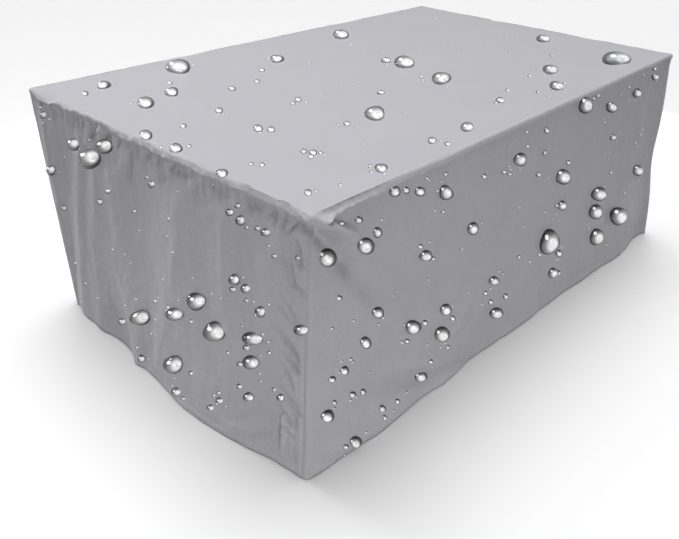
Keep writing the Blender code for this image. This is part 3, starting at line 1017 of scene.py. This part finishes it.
def add_strip(side):
    """The felled strip over a top edge: in over the top, round the edge, down the panel."""
    before, places, normals, along, reach, first_round, first_own = strip_path(side)
    knots, *sizes = np.array(side.strip).T
    inner, lower, puff, painted_shading = (np.interp(along, knots, size) for size in sizes)
    inner = np.minimum(inner, reach) + STRIP_LEAST
    dip = np.where(along < ROLL, 0.0, edge_dip(side, along))
    rounding = slice(first_round, first_own)
    points = []
    for outward, height, angle, swell in strip_sections(inner, lower, dip):
        share, across, deep = SCRUNCH
        scrunch = 1 + share * noise(side.seed + 9, along / across, height / deep)
        proud = LAP + STRIP * min(1.0, 0.2 + 4 * swell) + puff * swell * scrunch
        outward[rounding] = np.maximum(outward[rounding], -ROLL + STRIP_CLEAR)
        outward = outward + proud * math.sin(angle)
        if angle > 1.5:
            down = np.maximum(-height - ROLL, 0.0)[None] / DROP
            outward[first_own:] += wall_rise(side, along[None, first_own:], down[:, first_own:])[0]
            turned = before.length + along[None, :first_round] - ROLL * (2 - math.pi / 2)
            outward[:first_round] += wall_rise(before, turned, down[:, :first_round])[0]
        row = places + outward[:, None] * normals
        row[:, 2] = CLOTH + height + proud * math.cos(angle)
        points.append(row)
    points = np.array(points)
    run = runs(points)
    length = np.broadcast_to(runs(points[FACE_ROWS.start]), run.shape)
    mesh = grid_mesh(side.name + "_strip", points, np.stack([length, -run], -1))
    # Painted shadow on the rows round the edge, and painted light on the face rows near the strip's
    # start
    darkness = np.zeros(run.shape)
    darkness[BEND_ROWS] = np.array(BEND_PAINTED_SHADOW)[:, None] * painted_shading
    darkness[FACE_ROWS] = FACE_PAINTED_LIGHT * painted_shading * smooth((PAINTED_LIGHT_END - along) / PAINTED_LIGHT_EASE)
    set_painted_shading(mesh, darkness)
    piece = add_piece(side.name + "_strip", mesh, seam_cloth)
    thicken(piece, STRIP)
    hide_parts(side.name + "_seam")
    return points


def inset(grid, distance):
    """A line over a grid, at a distance in from each row's first point, and the way further in."""
    steps = np.linalg.norm(np.diff(grid, axis=1), axis=2)
    line = np.empty((len(grid), 3))
    inward = np.empty((len(grid), 3))
    for row, run in enumerate(runs(grid.transpose(1, 0, 2)).T):
        after = min(max(int(np.searchsorted(run, distance)), 1), len(run) - 1)
        share = (distance - run[after - 1]) / (run[after] - run[after - 1])
        line[row] = mix(grid[row, after - 1], grid[row, after], share)
        inward[row] = (grid[row, after] - grid[row, after - 1]) / steps[row, after - 1]
    return line, inward


def stitches(line, inward):
    """Thread lozenges along a line, one every pitch, as (vertices, faces)."""
    run = runs(line)
    middles = np.arange(STITCH_PITCH, run[-1] - STITCH_PITCH / 2, STITCH_PITCH)

    def at(places, values):
        return np.stack([np.interp(places, run, values[:, axis]) for axis in range(3)], -1)

    middle = at(middles, line)
    ahead = at(middles + STITCH_LENGTH / 2, line) - at(middles - STITCH_LENGTH / 2, line)
    side = at(middles, inward)
    out = np.cross(ahead, side)
    out /= np.linalg.norm(out, axis=1)[:, None]
    out *= np.sign(np.sum(out * (middle - (0, 0, -DROP / 2)), axis=1))[:, None]
    corners = np.stack([
        middle - ahead / 2, middle + ahead / 2,
        middle - side * THREAD / 2, middle + side * THREAD / 2,
        middle + out * THREAD * 0.7, middle - out * THREAD * 0.3], 1)
    shape = np.array([(0, 2, 4), (2, 1, 4), (1, 3, 4), (3, 0, 4),
                      (2, 0, 5), (1, 2, 5), (3, 1, 5), (0, 3, 5)])
    faces = (np.arange(len(middles)) * 6)[:, None, None] + shape
    return corners.reshape(-1, 3), faces.reshape(-1, 3)


def sew(side, wall, strip):
    """Stitching of one side: along the hem, down both upright seams and along the seam strip."""
    across = wall.transpose(1, 0, 2)[:, ::-1]
    lower = strip[::-1].transpose(1, 0, 2)
    lines = [inset(across, HEM_BAND - HEM_SEWN), inset(wall[4:], SEAM_INSET),
             inset(wall[4:, ::-1], SEAM_INSET), inset(lower, STRIP_SEWN)]
    parts = []
    for line, inward in lines:
        points, faces = stitches(line, inward)
        parts.append((points, faces.tolist(), np.zeros((len(points), 2))))
    joined(side.name + "_stitches", parts, thread)


def thread_material():
    nodes = Nodes("thread")
    place = nodes.add("ShaderNodeTexCoord").outputs["Object"]
    tone = nodes.noise(place, 400.0)
    nodes.link(nodes.mix_color(tone, (0.44, 0.44, 0.47, 1), (0.56, 0.56, 0.59, 1)), "Base Color")
    nodes.fix({"Roughness": 0.55, "Metallic": 0.0})
    return nodes.material


thread = thread_material()
add_top()
for side in SIDES:
    sew(side, add_wall(side), add_strip(side))


# --- Rain drops, one joined mesh for each face


class Drop(NamedTuple):
    """A drop seen in the photograph: its middle and its size, in the photograph's pixels."""

    pixel_x: float
    pixel_y: float
    pixel_width: float
    pixel_height: float = 0.0    # 0 where it wasn't measured


class Face(NamedTuple):
    """A flat face that drops lie on, with the direction along it, the way up it and its normal."""

    origin: tuple        # its upper left corner, seen from outside
    along: tuple
    up: tuple
    normal: tuple
    size: tuple
    seen: tuple
    small: int           # how many small drops are scattered over it
    height: float        # of a drop, as a share of its width
    open_side: tuple     # the side from which a drop's painted light and shade are laid out


SMALL = (0.007, 0.011)   # the least width of a small drop, and what chance adds to it,
UNSEEN = (0.006, 0.034)  # and of a drop on the faces that the photograph doesn't show
MARGINS = (0.03, 0.97, 0.95)   # shares of a face between which they lie; the last is downward
CLUSTERED = 0.45         # share of the small drops that lie round larger ones,
APART = (0.6, 1.1)       # and how far off, as shares of both widths
WIDEST = 0.090           # of a drop
HIGHEST = 0.029
LOWNESS = (0.72, 1.0)    # how high a drop looks for its width, from the photograph's side
FOOT = math.radians(108)       # how far round its dome reaches,
SUNK = 0.0004            # how far its foot is sunk in the cloth,
SLUMP = 0.12             # how far it sags down a wall, as a share of half its width,
WAVES = 0.09             # and how uneven its outline is
ROUND = 0.27             # square of half its width as seen, with room for its uneven outline
SPREADS = (0.30, 0.86)   # least and most of half its length, as a share of its width
UNSEEN_SPREAD = (0.55, 0.45)   # of a drop on the faces that the photograph doesn't show
GLINT = (-0.42, 0.36)    # where a drop's painted highlight lies, as seen from its open side
GLINT_SIZE = 0.17
GLOW = (0.25, -0.08)     # middle of its painted bright patch, where light would gather, and the half sizes of that patch
GLOW_SIZE = (0.36, 0.44)
GLOW_TIP = (0.34, 6)     # how far that patch is drawn out to the right, and the tip's sharpness,
GLOW_RAGGED = 0.13       # and how ragged its outline is
GLINT_LIFT = 1.02        # how far glints stand out from the drop's middle, as a share of its size
FINE_DOME = (8, 20)      # rings, and points round them, of a large drop,
COARSE_DOME = (5, 12)    # and of one no wider than LARGE
LARGE = 0.012
CAST_FROM = 0.2          # scattered drops are dropped on the cloth from this far out

TOP_DROPS = rows(Drop, (
    (179, 69, 23, 15), (146, 104, 16, 15), (172, 93, 13), (104, 86, 12),
    (341, 36, 15), (277, 60, 12), (404, 64, 19, 13), (386, 61, 9),
    (441, 80, 18, 13), (375, 115, 20, 16), (543, 40, 12), (615, 61, 28, 16),
    (550, 71, 14), (556, 87, 13), (500, 101, 9), (467, 128, 13),
    (432, 141, 9), (313, 153, 8), (258, 129, 10), (271, 130, 8),
    (298, 100, 7), (219, 111, 8), (232, 89, 7), (146, 136, 13),
    (176, 149, 13), (222, 174, 12), (381, 169, 13), (308, 193, 8),
    (85, 94, 7), (347, 124, 7), (262, 165, 6), (381, 93, 7),
))
LEFT_DROPS = rows(Drop, (
    (92, 158, 23, 17), (106, 146, 16), (75, 144, 13), (52, 170, 9),
    (44, 115, 7), (152, 184, 7), (241, 220, 10), (230, 212, 8),
    (266, 232, 10), (198, 300, 20, 16), (142, 316, 21, 14), (176, 313, 18, 12),
    (216, 330, 23, 18), (254, 337, 20, 10), (252, 361, 17, 13), (175, 363, 20, 17),
    (235, 279, 12), (246, 288, 10), (261, 311, 11), (302, 329, 15, 10),
    (177, 391, 10), (249, 396, 11), (220, 400, 8), (211, 407, 7),
    (281, 397, 8), (142, 358, 8), (123, 321, 8),
))
FRONT_DROPS = rows(Drop, (
    (326, 257, 19, 18), (365, 245, 17, 17), (377, 232, 10), (394, 191, 12),
    (419, 191, 12), (445, 192, 15), (337, 205, 9), (519, 159, 13),
    (561, 176, 17, 14), (584, 105, 15), (610, 107, 12), (636, 93, 9),
    (654, 77, 8), (612, 137, 7), (636, 170, 12), (597, 193, 17, 13),
    (561, 205, 10), (594, 211, 15), (617, 215, 24, 17), (595, 236, 16),
    (548, 241, 23, 24), (558, 253, 7), (552, 272, 11), (472, 228, 12),
    (425, 255, 14), (377, 312, 13), (412, 326, 16), (445, 309, 12),
    (441, 333, 16), (493, 280, 11), (495, 312, 14), (365, 342, 12),
    (344, 370, 9), (352, 394, 7), (420, 375, 13), (327, 415, 13),
    (355, 441, 12), (382, 408, 7),
))
FAR_SIDE = (0.64, 0.57, 0.51)
FACES = {
    "top": Face((-HALF_X, HALF_Y, 0), (1, 0, 0), (0, 1, 0), (0, 0, 1), (LENGTH, WIDTH),
                TOP_DROPS, 80, 0.36, (-0.72, -0.63, 0.29)),
    "left": Face((-HALF_X, HALF_Y, 0), (0, -1, 0), (0, 0, 1), (-1, 0, 0), (WIDTH, DROP),
                 LEFT_DROPS, 80, 0.50, (-0.44, -0.69, 0.57)),
    "front": Face((-HALF_X, -HALF_Y, 0), (1, 0, 0), (0, 0, 1), (0, -1, 0), (LENGTH, DROP),
                  FRONT_DROPS, 130, 0.50, (-0.78, -0.42, 0.47)),
    "right": Face((HALF_X, -HALF_Y, 0), (0, 1, 0), (0, 0, 1), (1, 0, 0), (WIDTH, DROP),
                  (), 70, 0.50, FAR_SIDE),
    "back": Face((HALF_X, HALF_Y, 0), (-1, 0, 0), (0, 0, 1), (0, 1, 0), (LENGTH, DROP),
                 (), 100, 0.50, FAR_SIDE),
}


def camera_axes():
    """The camera's right, up and back directions."""
    back = Vector(CAMERA_BACK).normalized()
    right = Vector(CAMERA_UP).cross(back).normalized()
    return right, back.cross(right), back


def sight(drop):
    """Direction from the camera through a pixel of the photograph."""
    right, up, back = camera_axes()
    across = (drop.pixel_x - PHOTO_WIDTH / 2) / PHOTO_FOCUS
    above = (PHOTO_HEIGHT / 2 - drop.pixel_y) / PHOTO_FOCUS
    return (across * right + above * up - back).normalized()


def seen_drops(face, surface):
    """Where the drops of the photograph meet a face's cloth, with their widths and heights."""
    eye = Vector(CAMERA_PLACE)
    found = []
    for drop in face.seen:
        place, facing, _, distance = surface.ray_cast(eye, sight(drop))
        if place is not None:
            facing = (facing + 2 * Vector(face.normal)).normalized()
            width = drop.pixel_width / PHOTO_FOCUS * distance
            found.append((place, facing, width, drop.pixel_height / drop.pixel_width))
    return found


def scattered_drops(face, surface, rng, taken):
    """Small drops over a face, most of them near the least width, clear of the larger ones."""
    found = []
    corner, along = Vector(face.origin), Vector(face.along)
    up, normal = Vector(face.up), Vector(face.normal)
    while len(found) < face.small:
        across = rng.uniform(MARGINS[0], MARGINS[1]) * face.size[0]
        below = rng.uniform(MARGINS[0], MARGINS[2]) * face.size[1]
        width = SMALL[0] + SMALL[1] * rng.uniform() ** 3
        if not face.seen:
            width = UNSEEN[0] + UNSEEN[1] * rng.uniform() ** 3
        start = corner + across * along - below * up
        if taken and rng.uniform() < CLUSTERED:
            place, _, size, _ = taken[rng.integers(len(taken))]
            turn = rng.uniform(0, 2 * math.pi)
            apart = (width + size) * rng.uniform(*APART)
            start = place + apart * (math.cos(turn) * along + math.sin(turn) * up)
        place, facing, _, _ = surface.ray_cast(start + CAST_FROM * normal, -normal)
        if place is not None and all((place - other).length > APART[0] * (width + size)
                                     for other, _, size, _ in taken + found):
            found.append((place, facing, width, 0.0))
    return found


def spread(place, plane, normal, rise, high, face):
    """How a drop spreads over the cloth, as shares of its width: half its length, half its breadth
    and their directions; on the faces that the photograph shows, so that it looks round there.
    """
    if not face.seen:
        return *UNSEEN_SPREAD, np.eye(2)
    right, up, back = np.array(camera_axes())
    offset = place - CAMERA_PLACE
    depth = -offset @ back

    def seen(direction):
        nearer = direction @ back / depth
        return np.stack([direction @ right + offset @ right * nearer,
                         direction @ up + offset @ up * nearer], -1)

    flat = np.linalg.inv(seen(plane).T)
    dome = seen(normal) * rise
    outline = flat @ (np.diag((ROUND, ROUND * high ** 2)) - np.outer(dome, dome)) @ flat.T
    squares, directions = np.linalg.eigh(outline)
    short, long = np.sqrt(np.clip(squares, SPREADS[0] ** 2, SPREADS[1] ** 2))
    longest = directions[:, 1] * np.sign(directions[0, 1])
    return long, short, np.array((longest, (-longest[1], longest[0])))


class Bead:
    """One drop's dome, an ellipsoid cut off at its foot, on the cloth at a place."""

    def __init__(self, place, normal, width, high, face, rng):
        along = Vector(face.up).cross(normal).normalized()
        plane = np.array((along, normal.cross(along)))
        self.place = np.array(place)
        width = min(width, WIDEST)
        rise = min(width * face.height, HIGHEST) / (1 - math.cos(FOOT))
        long, short, turned = spread(self.place, plane, np.array(normal), rise / width, high, face)
        self.axes = np.array((*(turned @ plane), normal))
        self.size = np.array([width * long, width * short, rise])
        self.sag = 0.0 if face.normal[2] else SLUMP * width / 2
        self.waves = rng.uniform(-WAVES, WAVES, 2)
        self.shift = rng.uniform(0, 6, 2)
        toward = Vector(face.open_side).normalized()
        right = Vector((0, 0, 1)).cross(toward).normalized()
        self.outline = np.array((right, toward.cross(right))) @ self.axes.T * self.size
        squares, directions = np.linalg.eigh(self.outline @ self.outline.T)
        self.rounding = directions / np.sqrt(squares) @ directions.T
        near = self.axes @ np.array(toward) / self.size
        self.near = near / np.linalg.norm(near)

    def points(self, sphere):
        """Points of the dome, from the same points on a unit sphere."""
        local = sphere * self.size
        turn = np.arctan2(sphere[..., 1], sphere[..., 0])
        wave = 1 + self.waves[0] * np.cos(2 * turn + self.shift[0])
        wave += self.waves[1] * np.cos(3 * turn + self.shift[1])
        local[..., :2] *= wave[..., None]
        level = sphere[..., 2] - math.cos(FOOT)
        local[..., 1] -= self.sag * level
        local[..., 2] = self.size[2] * level - SUNK
        return self.place + local.reshape(-1, 3) @ self.axes

    def layout(self, sphere):
        """Flat coordinates of the dome as its open side shows it: 1 at the outline, more behind."""
        sphere = sphere.reshape(-1, 3)
        plan = sphere @ self.outline.T @ self.rounding
        out = np.maximum(np.linalg.norm(plan, axis=1), 1e-6)
        return plan * np.where(sphere @ self.near < 0, (2 - out) / out, 1.0)[:, None]

    def lit(self, across, above):
        """Points of the dome at flat coordinates, a hair above it."""
        sphere = np.stack([across, above], -1) @ self.rounding @ self.outline
        sphere += np.sqrt(1 - across ** 2 - above ** 2)[:, None] * self.near
        return self.points(sphere * GLINT_LIFT)

    def glint(self, rng):
        """A round painted highlight where the dome would mirror the light, and a larger painted
        bright patch where it would gather it.
        """
        sides, shares = 12, (1.0, 0.67, 0.33)
        turn = np.linspace(0, 2 * math.pi, sides, endpoint=False)
        points, faces = [], []
        tip = 1 + GLOW_TIP[0] * np.maximum(np.cos(turn), 0) ** GLOW_TIP[1]
        tip += GLOW_RAGGED * rng.uniform(-1, 1, sides)
        for middle, size, wave in ((GLINT, (GLINT_SIZE, GLINT_SIZE), 1.0), (GLOW, GLOW_SIZE, tip)):
            faces += ring_quads(len(shares), sides, sides * len(points))
            for share in shares:
                points.append(self.lit(middle[0] + size[0] * share * wave * np.cos(turn),
                                       middle[1] + size[1] * share * wave * np.sin(turn)))
            faces.append(tuple(range(sides * len(points) - sides, sides * len(points))))
        return np.concatenate(points), faces


def add_drops(name, face, surface):
    """All the drops on one face as one piece, and their painted glints as another."""
    rng = np.random.default_rng(face.small)
    drops = seen_drops(face, surface)
    drops += scattered_drops(face, surface, rng, drops)
    domes, glints = [], []
    for place, normal, width, high in drops:
        rings, around = FINE_DOME if width > LARGE else COARSE_DOME
        bead = Bead(place, normal, width, high or rng.uniform(*LOWNESS), face, rng)
        turn = np.linspace(0, 2 * math.pi, around, endpoint=False)
        angle = np.linspace(FOOT, 0.08, rings)[:, None]
        sphere = np.stack([
            np.sin(angle) * np.cos(turn), np.sin(angle) * np.sin(turn),
            np.cos(angle) + 0 * turn], -1)
        foot = tuple(range(around - 1, -1, -1))
        crown = tuple(range((rings - 1) * around, rings * around))
        faces = ring_quads(rings, around) + [foot, crown]
        domes.append((bead.points(sphere), faces, bead.layout(sphere)))
        points, faces = bead.glint(rng)
        painted_highlight_mask = np.arange(len(points)) < len(points) / 2
        glints.append((points, faces, np.stack([painted_highlight_mask, painted_highlight_mask], -1).astype(float)))
    water = water_on_top if name == "top" else water_on_walls
    joined("drops_" + name, domes, water).visible_shadow = False
    joined("glints_" + name, glints, glint).visible_shadow = False


# Where a drop's painted shade and light change, as its open side shows it: 1 is its outline, and
# more lies behind
RIM_FROM = (0.74, 0.92)
RIM_TO = (1.35, 1.05)
RIM_STRENGTH = 0.9
SHADE_FROM = (0.35, 0.85)
SHADE_TO = (1.55, 1.15)
SHADE_TURN = (0.00, -0.60)     # from its middle to the upper left
BRIGHT = (0.22, -0.12, 0.0)    # middle of its painted bright patch, low on the right,
BRIGHT_REACH = (0.72, 0.40)    # and where that is gone, and full
DIAGONAL = 0.70


def water_material(name, body_color, painted_dark_color, painted_rim_color):
    """A water drop on grey cloth: a painted dark outline, a clear body with a painted dark side,
    and a painted bright patch low on the right.
    """
    nodes = Nodes(name)
    nodes.fix({"Roughness": 0.06, "Metallic": 0.0, "Specular IOR Level": 0.15})
    plan = nodes.add("ShaderNodeUVMap", uv_map="pattern").outputs["UV"]
    axes = nodes.add("ShaderNodeSeparateXYZ", {"Vector": plan})
    across, above = axes.outputs["X"], axes.outputs["Y"]
    out = nodes.add("ShaderNodeVectorMath", {0: plan}, operation="LENGTH").outputs["Value"]
    low_right = nodes.math("SUBTRACT", nodes.math("MULTIPLY", across, DIAGONAL),
                           nodes.math("MULTIPLY", above, DIAGONAL))
    painted_rim = nodes.math("MULTIPLY", nodes.step(out, *RIM_FROM), nodes.step(out, *RIM_TO))
    painted_dark_side = nodes.math("MULTIPLY", nodes.step(low_right, *SHADE_TURN),
                           nodes.step(out, *SHADE_FROM))
    painted_dark_side = nodes.math("MULTIPLY", painted_dark_side, nodes.step(out, *SHADE_TO))
    spot = nodes.add("ShaderNodeVectorMath", {0: plan, 1: BRIGHT}, operation="DISTANCE")
    painted_glow = nodes.step(spot.outputs["Value"], *BRIGHT_REACH)
    body = nodes.mix_color(painted_dark_side, body_color, painted_dark_color)
    lit = nodes.mix_color(painted_glow, body, (1.0, 1.0, 1.0, 1))
    edged = nodes.mix_color(nodes.math("MULTIPLY", painted_rim, RIM_STRENGTH), lit, painted_rim_color)
    nodes.link(edged, "Base Color")
    return nodes.material


# Painted highlights and painted bright patches, which glow by their own emission, not by any lamp
def glint_material():
    nodes = Nodes("glint")
    place = nodes.add("ShaderNodeTexCoord").outputs["Object"]
    painted_highlight_mask = nodes.add("ShaderNodeUVMap", uv_map="pattern").outputs["UV"]
    painted_highlight_mask = nodes.add("ShaderNodeSeparateXYZ", {"Vector": painted_highlight_mask}).outputs["X"]
    tone = nodes.step(nodes.noise(place, 130.0, 3.0), 0.34, 0.66)
    painted_glow_tone = nodes.mix_color(tone, (0.30, 0.30, 0.31, 1), (0.95, 0.95, 0.95, 1))
    nodes.link(nodes.mix_color(painted_highlight_mask, painted_glow_tone, (1.0, 1.0, 1.0, 1)), "Base Color")
    nodes.fix({"Roughness": 0.1, "Emission Color": (1, 1, 1, 1), "Emission Strength": 0.44})
    return nodes.material


bpy.context.view_layer.update()
# Drops on the top are painted lighter than those on the walls, for the stronger light on the top
water_on_top = water_material(
    "water_on_top", (0.50, 0.50, 0.52, 1), (0.32, 0.32, 0.34, 1), (0.14, 0.14, 0.15, 1))
water_on_walls = water_material(
    "water_on_walls", (0.42, 0.42, 0.44, 1), (0.09, 0.09, 0.10, 1), (0.03, 0.03, 0.035, 1))
glint = glint_material()
for name, face in FACES.items():
    cloth = bpy.data.objects[name + "_cloth"]
    surface = BVHTree.FromObject(cloth, bpy.context.evaluated_depsgraph_get())
    add_drops(name, face, surface)


# --- Floor, light and camera


FLOOR_LEVEL = -DROP - 0.001
FLOOR_SIZE = 40.0        # from its middle to its edge


def add_scenery(name, points, faces, paint):
    """A piece of the studio, which isn't part of the cover."""
    mesh = bpy.data.meshes.new(name)
    mesh.from_pydata(points, [], faces)
    nodes = Nodes(name + "_paint")
    nodes.fix(paint)
    made = add_object(name, mesh, nodes.material)
    made.visible_diffuse = False
    made.visible_shadow = False
    return made


def add_floor():
    corners = ((-1, -1), (1, -1), (1, 1), (-1, 1))
    points = [(x * FLOOR_SIZE, y * FLOOR_SIZE, FLOOR_LEVEL) for x, y in corners]
    add_scenery("floor", points, [(0, 1, 2, 3)], {
        "Base Color": (0.9, 0.9, 0.9, 1), "Roughness": 0.9, "Specular IOR Level": 0.1})


def add_backdrop():
    """A pale round wall at the end of the floor, which only the camera sees."""
    radius, height, sides = 39.0, 40.0, 48
    turn = np.linspace(0, 2 * math.pi, sides, endpoint=False)
    points = [(radius * math.cos(angle), radius * math.sin(angle), level)
              for level in (FLOOR_LEVEL, height) for angle in turn]
    faces = [face[::-1] for face in ring_quads(2, sides)]
    backdrop = add_scenery("backdrop", points, faces, {
        "Base Color": (0.0, 0.0, 0.0, 1), "Specular IOR Level": 0.0,
        "Emission Color": (1, 1, 1, 1), "Emission Strength": 0.9})
    backdrop.visible_glossy = False
    backdrop.visible_transmission = False


class Lamp(NamedTuple):
    name: str
    kind: str
    strength: float
    place: tuple
    target: tuple
    size: float          # a sun's angle in degrees, or an area's side in metres


NEAR_WALLS = (-0.7, -0.4, -0.5)
FAR_WALLS = (0.7, 0.4, -0.5)
LAMPS = rows(Lamp, (
    ("overhead", "SUN", 2.92, (0.5, 0.5, 3.0), (0, 0, 0), 50),
    ("along_left", "SUN", 0.77, (-0.25, 3.0, 0.12), (0, 0, 0), 12),
    ("over_back", "AREA", 13.4, (-1.0, 1.3, 2.2), NEAR_WALLS, 0.5),
    ("near_corner", "AREA", 9.4, (-1.6, -2.0, -0.62), NEAR_WALLS, 0.5),
    ("near_left", "AREA", 4.0, (-2.4, -0.9, -0.62), NEAR_WALLS, 0.5),
    ("far_left", "AREA", 5.6, (-2.6, 0.5, -0.62), NEAR_WALLS, 0.5),
    ("near_front", "AREA", 7.5, (0.2, -2.5, -0.62), NEAR_WALLS, 0.5),
    ("far_front", "AREA", 3.0, (1.1, -2.2, -0.62), NEAR_WALLS, 0.5),
    ("right_side", "AREA", 12.0, (2.6, 0.3, -0.5), FAR_WALLS, 0.5),
    ("back_side", "AREA", 14.0, (0.3, 2.4, -0.5), FAR_WALLS, 0.5),
))


def add_lamp(lamp):
    light = bpy.data.lights.new(lamp.name, lamp.kind)
    light.energy = lamp.strength
    if lamp.kind == "SUN":
        light.angle = math.radians(lamp.size)
    else:
        light.size = lamp.size
    holder = bpy.data.objects.new(lamp.name, light)
    direction = Vector(lamp.target) - Vector(lamp.place)
    holder.rotation_euler = direction.to_track_quat("-Z", "Y").to_euler()
    holder.location = lamp.place
    bpy.context.scene.collection.objects.link(holder)


def add_camera():
    camera = bpy.data.cameras.new("camera")
    camera.sensor_width = 36.0
    camera.lens = CAMERA_LENS
    camera.clip_end = 200.0
    holder = bpy.data.objects.new("camera", camera)
    turn = Matrix(camera_axes()).transposed().to_4x4()
    holder.matrix_world = Matrix.Translation(CAMERA_PLACE) @ turn
    bpy.context.scene.collection.objects.link(holder)
    bpy.context.scene.camera = holder


add_floor()
add_backdrop()
world = bpy.data.worlds.new("studio")
world.use_nodes = True
background = world.node_tree.nodes["Background"]
background.inputs["Color"].default_value = (1.0, 1.0, 1.0, 1)
background.inputs["Strength"].default_value = 0.093
bpy.context.scene.world = world
for lamp in LAMPS:
    add_lamp(lamp)
add_camera()
bpy.context.scene.view_settings.view_transform = "Standard"
